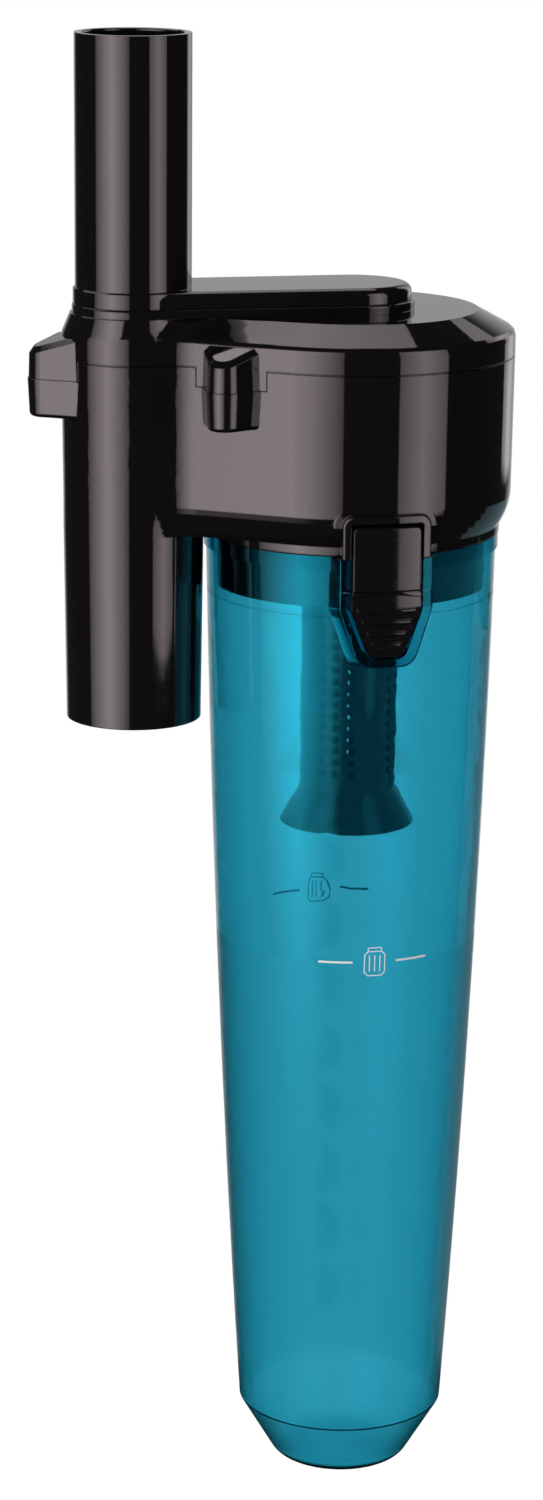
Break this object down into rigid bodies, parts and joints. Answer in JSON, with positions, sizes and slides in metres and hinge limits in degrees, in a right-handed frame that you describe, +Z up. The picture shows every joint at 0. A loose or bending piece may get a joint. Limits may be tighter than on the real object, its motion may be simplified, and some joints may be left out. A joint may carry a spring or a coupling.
{
  "type": "cyclone pre-separator",
  "caption": "Cyclone pre-separator for a stick vacuum cleaner: keyhole housing with outlet spigot and wand socket, perforated screen, and tapered clear dust cup held by rocker latches.",
  "frame": {"origin": "on the outlet spigot's axis, half way between its mouth and the duct", "axes": "+Z up along the spigot, +X from the spigot's axis towards the cup's axis, -Y towards the front latch"},
  "size_m": [0.1361, 0.0928, 0.4172],
  "materials": {
    "black_abs": "glossy moulded",
    "teal_polycarbonate": "clear above, frosted below",
    "screen_plastic": "moulded",
    "seal_rubber": "matte",
    "steel": "zinc plated"
  },
  "bodies": {
    "separator": {"outlet_hood": "black_abs", "cover": "black_abs", "cover_gasket": "seal_rubber", "cover_screws": "steel", "housing": "black_abs", "cup_seal": "seal_rubber", "filter_seal": "seal_rubber", "filter_screen": "screen_plastic", "filter_cone": "screen_plastic"},
    "cup": {"dust_cup": "teal_polycarbonate", "front_latch_pin": "steel", "rear_latch_pin": "steel", "front_latch_spring": "steel", "rear_latch_spring": "steel"},
    "front_latch": {"front_latch": "black_abs"},
    "rear_latch": {"rear_latch": "black_abs"}
  },
  "joints": [
    {"name": "cup_slide", "type": "slide", "parent": "separator", "child": "cup", "axis": [0, 0, -1], "range_m": [0, 0.1]},
    {"name": "front_latch_press", "type": "hinge", "parent": "cup", "child": "front_latch", "pos_m": [0.0618, -0.0434, -0.11245], "axis": [1, 0, 0], "range_deg": [0, 6], "stiffness_Nm_per_rad": 0.1, "springref_deg": -17.19, "deforming": ["front_latch_spring"]},
    {"name": "rear_latch_press", "type": "hinge", "parent": "cup", "child": "rear_latch", "pos_m": [0.0618, 0.0434, -0.11245], "axis": [-1, 0, 0], "range_deg": [0, 6], "stiffness_Nm_per_rad": 0.1, "springref_deg": -17.19, "deforming": ["rear_latch_spring"]}
  ]
}
